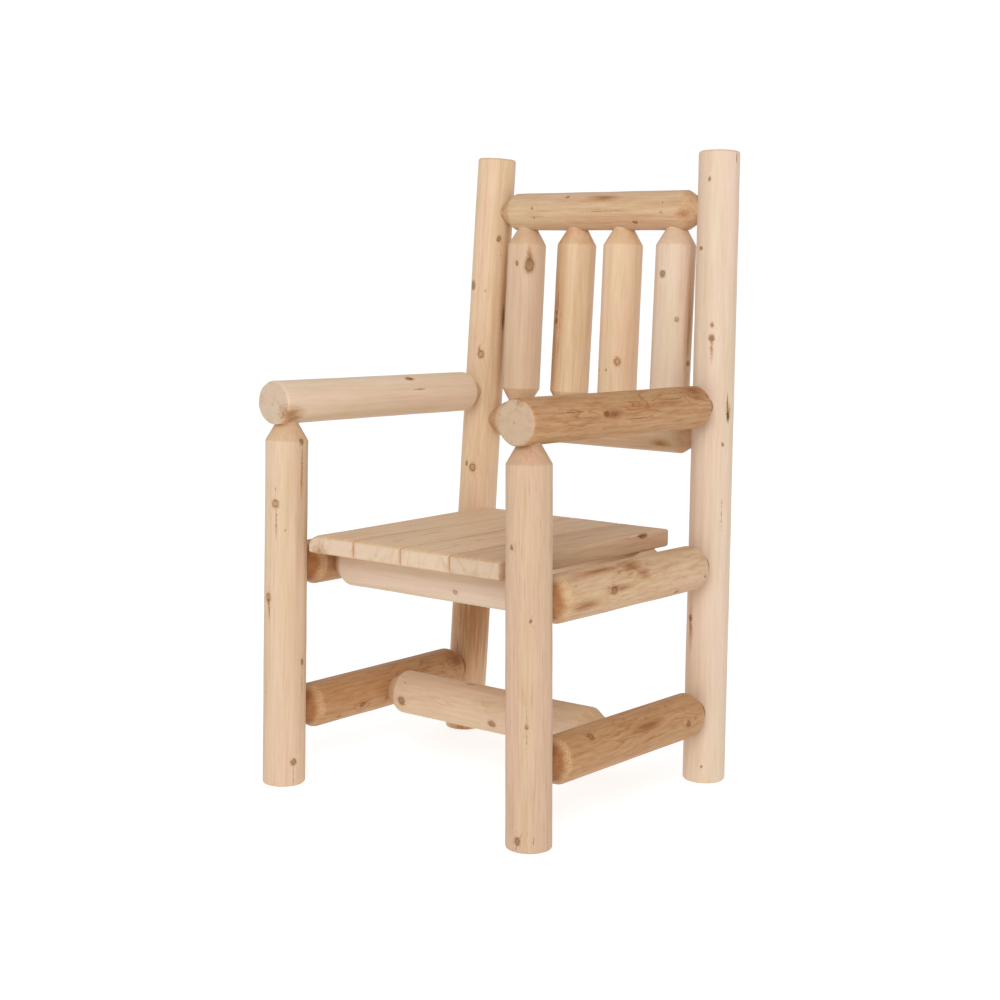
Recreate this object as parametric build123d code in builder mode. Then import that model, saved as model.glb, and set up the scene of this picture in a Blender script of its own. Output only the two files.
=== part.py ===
from build123d import *
from math import cos, hypot, radians, tan
import os

# A dining chair of peeled logs. The chair faces -Y, its left and right are those seen from
# the front, and its origin is on the floor under the middle of its outer box.

# Frame, in millimetres and degrees
leg_spacing = 549
post_spacing = 560.5
leg_to_post = 507
post_height = 1117
arm_height = 713
arm_drop = 5
seat_height = 450
stretcher_height = 127
crest_drop = 102
leg_lean = 0.9
post_lean = 1.5
back_lean = 2.5

# Logs
leg_foot_diameter = 76
leg_top_diameter = 74.5
post_foot_diameter = 76
post_top_diameter = 73.5
arm_diameter = 76
arm_overhang = 34
rail_diameter = 80
cross_rail_setback = 104
stretcher_diameter = 80
cross_stretcher_share = 0.5
crest_diameter = 72
back_rail_diameter = 72
back_rail_web = 16
spindle_diameter = 73
spindle_foot_shares = (-0.785, -0.26, 0.246, 0.775)
spindle_head_shares = (-0.771, -0.232, 0.246, 0.775)
edge_ease = 3

# Joints: a log ends in a cone and a round tenon, seated in a tapered mortise
tenon_diameter = 38
tenon_length = 45
shoulder_angle = 30
joint_seat = 3
rail_joint_seat = 8
joint_clearance = 0.25
mortise_relief = 2

# Seat boards, laid between the side rails on the planed tops of the cross rails
board_count = 4
board_thickness = 32
board_gap = 2
board_side_gap = 18
board_front_reach = 3
board_rear_setback = 41
board_corner = 8
board_ease = 5
planed_depth = 10

# Screws, driven up through the cross rails into the boards
screw_diameter = 5
screw_point = 6
screw_bite = 20
screw_head_diameter = 10
screw_head_thickness = 4
screw_clearance = 0.2
screw_pair_share = 0.5
counterbore_diameter = 13
counterbore_depth = 20

overrun = 5

# Values worked out from the sizes above
tenon_radius = tenon_diameter / 2
arm_radius = arm_diameter / 2
rail_radius = rail_diameter / 2
stretcher_radius = stretcher_diameter / 2
crest_radius = crest_diameter / 2
back_rail_radius = back_rail_diameter / 2
leg_slope = tan(radians(leg_lean))
post_slope = tan(radians(post_lean))
back_slope = tan(radians(back_lean))
cone_slope = tan(radians(shoulder_angle))
post_stretch = hypot(post_slope, back_slope, 1)
post_top_reach = post_top_diameter / 2 * hypot(post_slope, 1) / post_stretch

planed_height = seat_height - board_thickness
rail_height = planed_height + planed_depth - rail_radius
arm_axis_height = arm_height - arm_radius
arm_rear_height = arm_axis_height - arm_drop
back_rail_height = arm_rear_height - tenon_diameter - back_rail_web
crest_height = post_height - crest_drop

front_reach = max(leg_foot_diameter / 2, arm_overhang)
rear_reach = back_slope * (post_height - edge_ease) + post_top_reach
overall_depth = front_reach + leg_to_post + rear_reach
front_y = front_reach - overall_depth / 2
post_foot_y = front_y + leg_to_post


def leg_x(height):
    """Distance of the front legs' axes from the chair's middle."""
    return leg_spacing / 2 - leg_slope * height


def post_x(height):
    """Distance of the rear posts' axes from the chair's middle."""
    return post_spacing / 2 - post_slope * height


def post_y(height):
    """Place of the rear posts' axes, front to back."""
    return post_foot_y + back_slope * height


def leg_radius(height):
    """Radius of a front leg, which narrows from its foot to the armrest."""
    share = height / arm_axis_height
    return (leg_foot_diameter * (1 - share) + leg_top_diameter * share) / 2


def post_radius(height):
    """Radius of a rear post, which narrows from its foot to its top."""
    share = height / post_height
    return (post_foot_diameter * (1 - share) + post_top_diameter * share) / 2


def half_outline(base, corners, ease=0):
    """Half of a log's outline, from its axis out. Corners are (radius, place along base's z)."""
    with BuildSketch(Plane(base.origin, x_dir=base.x_dir, z_dir=-base.y_dir)) as outline:
        with BuildLine():
            Polyline((0, corners[0][1]), *corners, (0, corners[-1][1]), close=True)
        make_face()
        if ease:
            log_corners = outline.vertices().filter_by(lambda corner: corner.X > tenon_radius + ease)
            fillet(log_corners, radius=ease)
    return outline.sketch


def tenon_corners(seat, radius):
    """A tenon and its cone, from the tenon's end to the log's full radius, from the mouth in."""
    return [
        (tenon_radius, -seat - tenon_length),
        (tenon_radius, -seat),
        (radius, (radius - tenon_radius) / cone_slope - seat),
    ]


def turn_log(ends, radii, seats):
    """Adds a log between two end planes that face outward, with a tenon where a seat is given."""
    near, far = ends
    base = Plane(near.origin, z_dir=far.z_dir)
    length = (far.origin - near.origin).length
    near_corners, far_corners = [
        [(radius, 0)] if seat is None else tenon_corners(seat, radius) for radius, seat in zip(radii, seats)
    ]
    corners = near_corners + [(radius, length - place) for radius, place in reversed(far_corners)]
    revolve(half_outline(base, corners, edge_ease), axis=Axis(base.origin, base.z_dir))


def bore_mortise(mouth, seat):
    """Cuts the tapered mortise for a tenon that enters along the mouth plane's z."""
    straight_radius = tenon_radius + joint_clearance
    flared_radius = straight_radius + (seat + overrun) * cone_slope
    base = Plane(mouth.origin, z_dir=mouth.z_dir)
    corners = [
        (flared_radius, -overrun),
        (straight_radius, seat),
        (straight_radius, seat + tenon_length + mortise_relief),
    ]
    revolve(half_outline(base, corners), axis=Axis(base.origin, base.z_dir), mode=Mode.SUBTRACT)


def side_log_x(place, height):
    """Distance from the chair's middle, at a place front to back, of a level side log."""
    share = (place - front_y) / (post_y(height) - front_y)
    return leg_x(height) * (1 - share) + post_x(height) * share


def side_log_ends(side, height, drop=0):
    """End planes of a log that runs from a front leg back to a rear post, lower there by a drop."""
    rear_height = height - drop
    on_leg = Vector(side * leg_x(height), front_y, height)
    on_post = Vector(side * post_x(rear_height), post_y(rear_height), rear_height)
    back = (on_post - on_leg).normalized()
    front = on_leg + back * leg_radius(height)
    rear = on_post - back * post_radius(rear_height) / cos(radians(back_lean))
    return Plane(front, z_dir=-back), Plane(rear, z_dir=back)


def cross_log_ends(reach, place, height):
    """End planes of a log that runs from left to right."""
    left, right = (-reach, place, height), (reach, place, height)
    return Plane(left, z_dir=(-1, 0, 0)), Plane(right, z_dir=(1, 0, 0))


def back_log_ends(height):
    """End planes of a log that runs from one rear post to the other."""
    return cross_log_ends(post_x(height) - post_radius(height), post_y(height), height)


def spindle_ends(foot_share, head_share):
    """End planes of a back spindle, on top of the lower rail and under the crest rail."""
    reach = post_x(crest_height) - post_radius(crest_height)
    on_back_rail = Vector(foot_share * reach, post_y(back_rail_height), back_rail_height)
    on_crest = Vector(head_share * reach, post_y(crest_height), crest_height)
    up = (on_crest - on_back_rail).normalized()
    foot, head = on_back_rail + up * back_rail_radius, on_crest - up * crest_radius
    return Plane(foot, z_dir=-up), Plane(head, z_dir=up)


def leg_ends(side):
    """End planes of a front leg: square across its foot, and under the armrest."""
    up = Vector(-side * leg_slope, 0, 1).normalized()
    foot = Vector(side * leg_x(-overrun), front_y, -overrun)
    head = Vector(side * leg_x(arm_axis_height), front_y, arm_axis_height) - up * arm_radius
    return Plane(foot, z_dir=-up), Plane(head, z_dir=up)


def post_ends(side):
    """End planes of a rear post, square across its foot and its sawn top."""
    up = Vector(-side * post_slope, back_slope, 1).normalized()
    foot = Vector(side * post_x(-overrun), post_y(-overrun), -overrun)
    head = Vector(side * post_x(post_height), post_y(post_height), post_height)
    return Plane(foot, z_dir=-up), Plane(head, z_dir=up)


stretcher_place = front_y + cross_stretcher_share * leg_to_post
front_rail_place = front_y + cross_rail_setback
rear_rail_place = post_y(rail_height) - cross_rail_setback
front_rail_reach = side_log_x(front_rail_place, rail_height) - rail_radius
rear_rail_reach = side_log_x(rear_rail_place, rail_height) - rail_radius
cross_stretcher_reach = side_log_x(stretcher_place, stretcher_height) - stretcher_radius
crest_ends = back_log_ends(crest_height)
back_rail_ends = back_log_ends(back_rail_height)
front_rail_ends = cross_log_ends(front_rail_reach, front_rail_place, rail_height)
rear_rail_ends = cross_log_ends(rear_rail_reach, rear_rail_place, rail_height)
cross_stretcher_ends = cross_log_ends(cross_stretcher_reach, stretcher_place, stretcher_height)

board_span = 2 * (front_rail_reach - board_side_gap)
board_width = (board_span - (board_count - 1) * board_gap) / board_count
board_pitch = board_width + board_gap
board_front = front_y - board_front_reach
board_rear = post_y(rail_height) - board_rear_setback
board_length = board_rear - board_front
board_middle = (board_rear + board_front) / 2
screw_seat_height = rail_height - rail_radius + counterbore_depth
screw_length = planed_height + screw_bite - screw_seat_height

screw_places = [
    (board_pitch * (board - (board_count - 1) / 2) + offset * board_width * screw_pair_share / 2, place)
    for board in range(board_count)
    for offset in (-1, 1)
    for place in (front_rail_place, rear_rail_place)
]


def front_leg(side):
    """A front leg, flat on the floor, with a tenon up into the armrest."""
    ends = leg_ends(side)
    with BuildPart() as leg:
        turn_log(ends, (leg_radius(0), leg_radius(arm_axis_height)), (None, joint_seat))
        split(bisect_by=Plane.XY)
        fillet(leg.edges().group_by(Axis.Z)[0], radius=edge_ease)
        for height in (stretcher_height, rail_height):
            bore_mortise(side_log_ends(side, height)[0], rail_joint_seat)
    return leg


def rear_post(side):
    """A rear post, flat on the floor and sawn square at its top."""
    ends = post_ends(side)
    side_logs = (
        (stretcher_height, 0, rail_joint_seat),
        (rail_height, 0, rail_joint_seat),
        (arm_axis_height, arm_drop, joint_seat),
    )
    with BuildPart() as post:
        turn_log(ends, (post_radius(0), post_radius(post_height)), (None, None))
        split(bisect_by=Plane.XY)
        fillet(post.edges().group_by(Axis.Z)[0], radius=edge_ease)
        for height, drop, seat in side_logs:
            bore_mortise(side_log_ends(side, height, drop)[1], seat)
        for cross_ends in (back_rail_ends, crest_ends):
            bore_mortise(cross_ends[side > 0], joint_seat)
    return post


def armrest(side):
    """An armrest, sawn square in front of the leg and tenoned into the rear post."""
    rear = side_log_ends(side, arm_axis_height, arm_drop)[1]
    on_leg = Vector(side * leg_x(arm_axis_height), front_y, arm_axis_height)
    sawn_front = Plane(on_leg - rear.z_dir * arm_overhang, z_dir=-rear.z_dir)
    with BuildPart() as arm:
        turn_log((sawn_front, rear), (arm_radius,) * 2, (None, joint_seat))
        bore_mortise(leg_ends(side)[1], joint_seat)
    return arm


def side_rail(side):
    """A seat rail, front leg to rear post, bored for both cross rails."""
    with BuildPart() as rail:
        turn_log(side_log_ends(side, rail_height), (rail_radius,) * 2, (rail_joint_seat,) * 2)
        for cross_ends in (front_rail_ends, rear_rail_ends):
            bore_mortise(cross_ends[side > 0], rail_joint_seat)
    return rail


def side_stretcher(side):
    """A low stretcher, front leg to rear post, bored for the cross stretcher."""
    with BuildPart() as stretcher:
        turn_log(side_log_ends(side, stretcher_height), (stretcher_radius,) * 2, (rail_joint_seat,) * 2)
        bore_mortise(cross_stretcher_ends[side > 0], rail_joint_seat)
    return stretcher


def cross_stretcher():
    """The stretcher that joins the two side stretchers at their middle."""
    with BuildPart() as stretcher:
        turn_log(cross_stretcher_ends, (stretcher_radius,) * 2, (rail_joint_seat,) * 2)
    return stretcher


def cross_rail(ends, place):
    """A rail under the seat, planed flat on top and counterbored from below for the screws."""
    heads = [
        Location(Plane((x, place, rail_height - rail_radius), z_dir=(0, 0, -1)))
        for x, screw_place in screw_places
        if screw_place == place
    ]
    with BuildPart() as rail:
        turn_log(ends, (rail_radius,) * 2, (rail_joint_seat,) * 2)
        split(bisect_by=Plane.XY.offset(planed_height), keep=Keep.BOTTOM)
        with Locations(*heads):
            CounterBoreHole(
                radius=screw_diameter / 2 + screw_clearance,
                counter_bore_radius=counterbore_diameter / 2,
                counter_bore_depth=counterbore_depth,
            )
    return rail


def back_log(ends, radius, spindle_end):
    """The crest rail or the lower back rail, bored for the spindles."""
    with BuildPart() as log:
        turn_log(ends, (radius,) * 2, (joint_seat,) * 2)
        for shares in zip(spindle_foot_shares, spindle_head_shares):
            bore_mortise(spindle_ends(*shares)[spindle_end], joint_seat)
    return log


def back_spindle(shares):
    """A back spindle, with a cone and tenon at both ends."""
    with BuildPart() as spindle:
        turn_log(spindle_ends(*shares), (spindle_diameter / 2,) * 2, (joint_seat,) * 2)
    return spindle


def seat_board(number):
    """A seat board with eased edges and blind pilot holes for its screws."""
    x = board_pitch * (number - (board_count - 1) / 2)
    with BuildPart() as board:
        with BuildSketch(Plane.XY.offset(planed_height)):
            with Locations((x, board_middle)):
                RectangleRounded(board_width, board_length, board_corner)
        extrude(amount=board_thickness)
        for face in (board.faces().sort_by(Axis.Z)[-1], board.faces().sort_by(Axis.Z)[0]):
            fillet(face.edges(), radius=board_ease)
        pilots = [
            Location(Plane((screw_x, place, planed_height), z_dir=(0, 0, -1)))
            for screw_x, place in screw_places
            if abs(screw_x - x) < board_width / 2
        ]
        with Locations(*pilots):
            Hole(radius=screw_diameter / 2 + screw_clearance, depth=screw_bite + mortise_relief)
    return board


def seat_screws():
    """The screws that hold the boards, their heads sunk in the cross rails."""
    outline = (
        (0, -screw_head_thickness),
        (screw_head_diameter / 2, -screw_head_thickness),
        (screw_head_diameter / 2, 0),
        (screw_diameter / 2, 0),
        (screw_diameter / 2, screw_length - screw_point),
        (0, screw_length),
    )
    with BuildPart() as screws:
        for x, place in screw_places:
            seat = (x, place, screw_seat_height)
            with BuildSketch(Plane(seat, x_dir=(1, 0, 0), z_dir=(0, -1, 0))) as half:
                with BuildLine():
                    Polyline(*outline, close=True)
                make_face()
            revolve(half.sketch, axis=Axis(seat, (0, 0, 1)))
    return screws


pieces = {
    "front_seat_rail": cross_rail(front_rail_ends, front_rail_place),
    "rear_seat_rail": cross_rail(rear_rail_ends, rear_rail_place),
    "crest_rail": back_log(crest_ends, crest_radius, 1),
    "lower_back_rail": back_log(back_rail_ends, back_rail_radius, 0),
    "cross_stretcher": cross_stretcher(),
    "seat_screws": seat_screws(),
}
for side_name, side in (("left", -1), ("right", 1)):
    pieces[f"front_{side_name}_leg"] = front_leg(side)
    pieces[f"rear_{side_name}_post"] = rear_post(side)
    pieces[f"{side_name}_armrest"] = armrest(side)
    pieces[f"{side_name}_seat_rail"] = side_rail(side)
    pieces[f"{side_name}_stretcher"] = side_stretcher(side)
for number, shares in enumerate(zip(spindle_foot_shares, spindle_head_shares), 1):
    pieces[f"back_spindle_{number}"] = back_spindle(shares)
for number in range(board_count):
    pieces[f"seat_board_{number + 1}"] = seat_board(number)

os.makedirs("parts", exist_ok=True)
for name, piece in pieces.items():
    piece.part.label = name
    export_step(piece.part, f"parts/{name}.step")
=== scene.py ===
from math import cos, pi, radians, sin, tan
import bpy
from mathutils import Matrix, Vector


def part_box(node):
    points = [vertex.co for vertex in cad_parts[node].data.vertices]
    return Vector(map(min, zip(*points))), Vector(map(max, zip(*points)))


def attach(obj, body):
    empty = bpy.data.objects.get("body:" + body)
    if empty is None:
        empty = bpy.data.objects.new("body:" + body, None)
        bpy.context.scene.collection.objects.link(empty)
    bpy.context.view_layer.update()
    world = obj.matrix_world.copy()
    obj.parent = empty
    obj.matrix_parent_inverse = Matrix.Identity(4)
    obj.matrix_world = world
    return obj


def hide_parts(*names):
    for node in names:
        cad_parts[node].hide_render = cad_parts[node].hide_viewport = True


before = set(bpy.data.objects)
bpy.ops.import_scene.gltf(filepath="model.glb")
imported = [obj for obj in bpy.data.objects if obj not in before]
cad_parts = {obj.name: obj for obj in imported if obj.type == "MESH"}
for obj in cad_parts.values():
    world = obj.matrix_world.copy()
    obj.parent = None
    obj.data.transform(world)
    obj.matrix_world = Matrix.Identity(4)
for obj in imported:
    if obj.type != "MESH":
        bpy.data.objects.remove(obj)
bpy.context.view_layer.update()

from types import SimpleNamespace

import bmesh
import bpy
import numpy as np
from mathutils import Matrix, Vector

# Looks of a dining chair of peeled cedar logs, in metres. The chair faces -Y, and left and
# right are those seen from the front.

to_right, to_rear, upward = Vector((1, 0, 0)), Vector((0, 1, 0)), Vector((0, 0, 1))

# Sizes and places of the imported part
leg_spacing = 0.549
post_spacing = 0.5605
leg_to_post = 0.507
front_y = -0.277177
post_foot_y = front_y + leg_to_post
post_height = 1.117
arm_height = 0.675
arm_drop = 0.005
arm_overhang = 0.034
rail_height = 0.388
stretcher_height = 0.127
crest_height = 1.015
back_rail_height = 0.616
cross_rail_setback = 0.104
leg_slope = tan(radians(0.9))
post_slope = tan(radians(1.5))
back_lean = radians(2.5)
back_slope = tan(back_lean)
leg_radii = (0.038, 0.03725)
post_radii = (0.038, 0.03675)
arm_radius = 0.038
rail_radius = 0.04
back_rail_radius = 0.036
crest_radii = (0.0354, 0.0364)
spindle_radius = 0.0365
spindle_foot_shares = (-0.791, -0.26, 0.248, 0.781)
spindle_head_shares = (-0.778, -0.232, 0.248, 0.781)
tenon_ease = 0.003
sawn_ease = 0.005
tenon_radius = 0.019
tenon_length = 0.045
cone_slope = tan(radians(30))
joint_seat = 0.003
rail_joint_seat = 0.008
joint_clearance = 0.00025
mortise_relief = 0.002
overrun = 0.005
planed_height = 0.418

# Screw holes as (radius, place) corners from the mouth in
head_radius = 0.0065
shank_radius = 0.0027
head_depth = 0.02
ledge_step = 1e-7
pilot_depth = 0.022
counterbore = (
    (head_radius, -overrun), (head_radius, head_depth),
    (shank_radius, head_depth + ledge_step), (shank_radius, 2 * rail_radius),
)
pilot = ((shank_radius, -overrun), (shank_radius, pilot_depth))

# Seat boards: how far their edges are rounded across, up and along, how finely they are cut,
# their waves, the left board's worn corner and the wane along its left edge, and the pith of
# the log of each board
board_count = 4
board_width = 0.10387
board_pitch = 0.10587
board_ease = (0.003, 0.005, 0.009)
ease_shares = (0.0, 0.08, 0.3, 0.62, 1.0)
board_cells = (16, 4, 60)
board_seed = 40
board_wave = 0.00012
board_wave_count = 5
board_wave_rates = (5, 45)
worn_size = (0.012, 0.01, 0.014)
worn_push = (-0.003, -0.002, 0.003)
wane_width = 0.012
wane_depth = 0.0045
board_piths = ((0.03, -0.05, 0), (-0.06, 0.06, 0), (0.02, 0.07, 0), (-0.02, -0.055, 0))

# How finely the logs are cut
segments = 96
hole_segments = 64
ring_step = 0.005
cone_step = 0.0012
tip_step = tenon_ease / 3
sawn_angles = (0, 15, 30, 45, 60, 75, 90)
cap_shares = (0.7, 0.4)
foot_blend = 0.03
sharp_angle = radians(33)

# How far a log's surface strays from a true cylinder: flats from peeling, of uneven place,
# depth and length, slight waves, and knots that stand proud
flat_count = 11
flat_stray = 0.35
flat_depth = 0.0008
flat_depth_shares = (0.3, 1.0)
flat_periods = (0.25, 0.6)
flat_least_facing = 0.6
flat_softness = 0.0004
cone_softness = 0.0002
wave_count = 6
wave_depth = 0.0001
wave_rates = (8, 60)
knot_rise = 0.0005
spindle_relief = 0.6

# Marks on the sides that the photograph doesn't show: where those sides face on upright and
# on level logs, how far marks stray round and along them, and how their sizes vary
far_seed = 70
far_angle_upright = 125
far_angle_level = 0
far_angle_stray = 55
far_places = (0.12, 0.88)
far_sizes = (0.7, 1.2)
far_ring_spacing = 0.35
far_spot_spacing = 0.3

# Marks in the wood, each (angle in degrees, place along the piece, radius across, radius along).
# Angles are seen along the piece from its near end: 0 is its own x, and 90 its y. Rings are knots
# with a pale middle, spots are knots that are dark all over, and figured patches show growth
# rings. Most stained patches and splits are the wood's own, but a few are painted shade, noted
# where they stand. mark_far_side adds some on the far side of each log.
rings = {
    "rear_left_post": [(-66, 0.742, 0.006, 0.007), (-73, 0.521, 0.006, 0.007)],
    "back_spindle_3": [(-58, 0.088, 0.006, 0.0065)],
    "back_spindle_4": [(-46, 0.168, 0.0035, 0.004)],
    "front_left_leg": [(-75, 0.502, 0.006, 0.0065), (-97, 0.337, 0.006, 0.007)],
    "front_right_leg": [(-58, 0.203, 0.003, 0.0035)],
    "front_seat_rail": [(-158, 0.291, 0.004, 0.004)],
    "left_stretcher": [(-162, 0.125, 0.005, 0.006)],
    "right_seat_rail": [(173, 0.138, 0.006, 0.007)],
    "right_stretcher": [(130, 0.091, 0.006, 0.006), (178, 0.359, 0.005, 0.005)],
}
spots = {
    "rear_left_post": [
        (-32, 0.965, 0.004, 0.005), (-112, 0.874, 0.006, 0.008), (-64, 0.864, 0.0015, 0.0015),
        (-94, 0.528, 0.003, 0.005),
    ],
    "back_spindle_1": [(-43, 0.262, 0.0085, 0.0135), (-82, 0.264, 0.0025, 0.005)],
    "back_spindle_2": [(-112, 0.158, 0.004, 0.006), (-113, 0.174, 0.0025, 0.0025)],
    "back_spindle_3": [(-91, 0.072, 0.002, 0.002), (-125, 0.069, 0.001, 0.003)],
    "back_spindle_4": [(-94, 0.248, 0.0055, 0.006), (2, 0.09, 0.004, 0.004)],
    "crest_rail": [
        (171, 0.083, 0.0025, 0.0025), (-160, 0.086, 0.0015, 0.002), (133, 0.158, 0.003, 0.004),
        (-143, 0.314, 0.0035, 0.005), (158, 0.374, 0.0016, 0.0016), (-173, 0.374, 0.0016, 0.0016),
    ],
    "rear_right_post": [
        (-85, 1.067, 0.0022, 0.004), (-109, 0.947, 0.004, 0.004), (-67, 0.813, 0.003, 0.004),
        (-28, 0.603, 0.003, 0.003), (-65, 0.028, 0.0015, 0.004), (-112, 0.293, 0.004, 0.006),
        (-14, 0.654, 0.0028, 0.006), (-67, 0.79, 0.005, 0.0055),
    ],
    "left_armrest": [(123, 0.326, 0.004, 0.009)],
    "front_left_leg": [
        (0, 0.61, 0.0045, 0.006), (-68, 0.626, 0.0012, 0.0015), (-46, 0.456, 0.0013, 0.0015),
        (9, 0.222, 0.003, 0.005), (-18, 0.045, 0.005, 0.0055),
    ],
    "front_right_leg": [
        (-99, 0.483, 0.003, 0.004), (-48, 0.37, 0.002, 0.0035), (-81, 0.02, 0.005, 0.006),
    ],
    "right_armrest": [(171, 0.189, 0.004, 0.007), (-154, 0.192, 0.0012, 0.0014)],
    "left_stretcher": [(-142, 0.068, 0.002, 0.005), (-161, 0.19, 0.002, 0.002)],
    "cross_stretcher": [
        (-171, 0.047, 0.0065, 0.0075), (-159, 0.258, 0.006, 0.007), (140, 0.049, 0.0015, 0.0015),
    ],
    "right_seat_rail": [
        (80, 0.067, 0.0015, 0.0015), (-167, 0.413, 0.002, 0.0025), (-138, 0.335, 0.003, 0.006),
    ],
    "right_stretcher": [(159, 0.033, 0.0018, 0.0018), (116, 0.32, 0.0015, 0.0015)],
    "seat_board_4": [(167, 0.403, 0.004, 0.012)],
}
stains_and_shade = {
    # Painted shade: the first three marks darken this post below the seat (partly brown staining, partly
    # the seat's shadow), at its foot, and on its right side above the arm.
    "rear_left_post": [
        (-25, 0.24, 0.1, 0.2), (-60, 0.0, 0.04, 0.02), (2, 0.83, 0.014, 0.24),
        (-72, 0.752, 0.004, 0.012),
    ],
    "back_spindle_1": [(-44, 0.282, 0.007, 0.02)],
    "back_spindle_2": [(-120, 0.17, 0.028, 0.3)],
    "back_spindle_4": [(-2, 0.16, 0.015, 0.17)],
    "crest_rail": [(-167, 0.42, 0.012, 0.02), (140, 0.24, 0.01, 0.05)],
    "rear_right_post": [(-13, 0.665, 0.007, 0.02), (-112, 0.27, 0.007, 0.05), (-67, 0.775, 0.004, 0.03)],
    "left_armrest": [(-148, 0.01, 0.024, 0.036), (-132, 0.02, 0.02, 0.03), (125, 0.33, 0.006, 0.016)],
    "right_armrest": [(172, 0.211, 0.012, 0.03), (125, 0.47, 0.022, 0.04), (100, 0.0, 0.014, 0.004)],
    "front_left_leg": [(2, 0.55, 0.004, 0.06), (-97, 0.325, 0.004, 0.02)],
    "right_seat_rail": [
        (118, 0.21, 0.018, 0.04), (150, 0.23, 0.012, 0.025), (116, 0.12, 0.01, 0.09),
        (172, 0.16, 0.008, 0.05), (-165, 0.06, 0.013, 0.06),
    ],
    "left_stretcher": [(142, 0.4, 0.025, 0.035)],
    "cross_stretcher": [(96, 0.183, 0.006, 0.014), (-160, 0.047, 0.004, 0.012)],
    "right_stretcher": [(150, 0.24, 0.012, 0.06)],
    "lower_back_rail": [(-150, 0.4, 0.012, 0.03)],
    # Painted shade at the lower left of this board's front end.
    "seat_board_1": [(-30, 0.0, 0.022, 0.004)],
}
cracks_and_shade_lines = {
    "rear_left_post": [(2, 0.814, 0.0035, 0.022), (-22, 0.944, 0.0008, 0.02), (-88, 0.177, 0.0008, 0.06)],
    "back_spindle_2": [(-108, 0.192, 0.0006, 0.02)],
    "crest_rail": [(-163, 0.09, 0.0007, 0.02), (-178, 0.24, 0.0006, 0.05), (-168, 0.418, 0.0006, 0.02)],
    "rear_right_post": [
        (-16, 0.673, 0.0016, 0.02), (-12, 0.651, 0.003, 0.008), (-26, 0.506, 0.0008, 0.06),
        (-3, 1.105, 0.0012, 0.01),
    ],
    "left_armrest": [(161, 0.34, 0.0011, 0.014), (-140, 0.03, 0.001, 0.008), (-162, 0.024, 0.0008, 0.012)],
    "front_left_leg": [
        (-75, 0.53, 0.0007, 0.022), (-72, 0.468, 0.0012, 0.026), (-93, 0.313, 0.0012, 0.016),
        (3, 0.58, 0.0008, 0.03), (9, 0.18, 0.0007, 0.03), (-104, 0.162, 0.0007, 0.03),
        (-19, 0.02, 0.0006, 0.016),
    ],
    "front_right_leg": [
        (-58, 0.184, 0.0006, 0.014), (-58, 0.225, 0.0005, 0.016), (-41, 0.021, 0.0007, 0.007),
        (-84, 0.008, 0.0006, 0.008),
    ],
    "right_armrest": [(146, 0.39, 0.0008, 0.03), (-172, 0.28, 0.0007, 0.03), (160, 0.09, 0.0007, 0.04)],
    "right_seat_rail": [(179, 0.333, 0.0007, 0.014), (145, 0.041, 0.0008, 0.006), (132, 0.2, 0.0007, 0.04)],
    # The first mark is a painted shade line at the lower left of this board's front end.
    "seat_board_1": [(-18, 0.0, 0.0025, 0.002), (120, 0.2, 0.0006, 0.04)],
    "seat_board_2": [
        (107, 0.052, 0.0016, 0.01), (153, 0.287, 0.001, 0.024), (60, 0.15, 0.001, 0.03),
        (18, 0.16, 0.0024, 0.12),
    ],
    "seat_board_3": [
        (86, 0.083, 0.0016, 0.01), (69, 0.152, 0.0012, 0.014), (130, 0.3, 0.001, 0.03),
        (18, 0.2, 0.0026, 0.18),
    ],
    "seat_board_4": [(167, 0.395, 0.001, 0.018), (80, 0.3, 0.001, 0.03), (18, 0.14, 0.0024, 0.12)],
}
figured = {
    "right_armrest": [(140, 0.3, 0.035, 0.07), (120, 0.47, 0.04, 0.06), (175, 0.12, 0.02, 0.05)],
    "right_seat_rail": [(120, 0.2, 0.025, 0.07), (173, 0.138, 0.014, 0.02)],
    "left_stretcher": [(-162, 0.125, 0.018, 0.025), (150, 0.3, 0.035, 0.12)],
    "right_stretcher": [(150, 0.2, 0.04, 0.1), (170, 0.35, 0.02, 0.05)],
    "cross_stretcher": [(150, 0.238, 0.016, 0.022), (170, 0.15, 0.012, 0.03)],
    "crest_rail": [(-170, 0.43, 0.016, 0.02)],
    "seat_board_4": [(170, 0.38, 0.02, 0.05)],
}

# Tones of the wood as (pale, tan, sawn end). Each piece has its tones, and how strongly streaks,
# ring figure, the darker heart under its cones and small checks show.
blush = ((0.7, 0.56, 0.43), (0.63, 0.47, 0.335), (0.62, 0.48, 0.35))
shell = ((0.755, 0.61, 0.455), (0.68, 0.515, 0.35), (0.59, 0.46, 0.345))
cream = ((0.66, 0.5, 0.35), (0.59, 0.42, 0.27), (0.66, 0.51, 0.375))
straw = ((0.72, 0.54, 0.365), (0.625, 0.43, 0.26), (0.62, 0.48, 0.35))
sand = ((0.725, 0.54, 0.36), (0.65, 0.455, 0.28), (0.67, 0.52, 0.385))
wheat = ((0.59, 0.425, 0.295), (0.51, 0.335, 0.21), (0.6, 0.46, 0.33))
honey = ((0.63, 0.455, 0.295), (0.545, 0.36, 0.21), (0.6, 0.46, 0.33))
brown = ((0.5, 0.3, 0.145), (0.4, 0.21, 0.092), (0.52, 0.38, 0.26))
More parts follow.
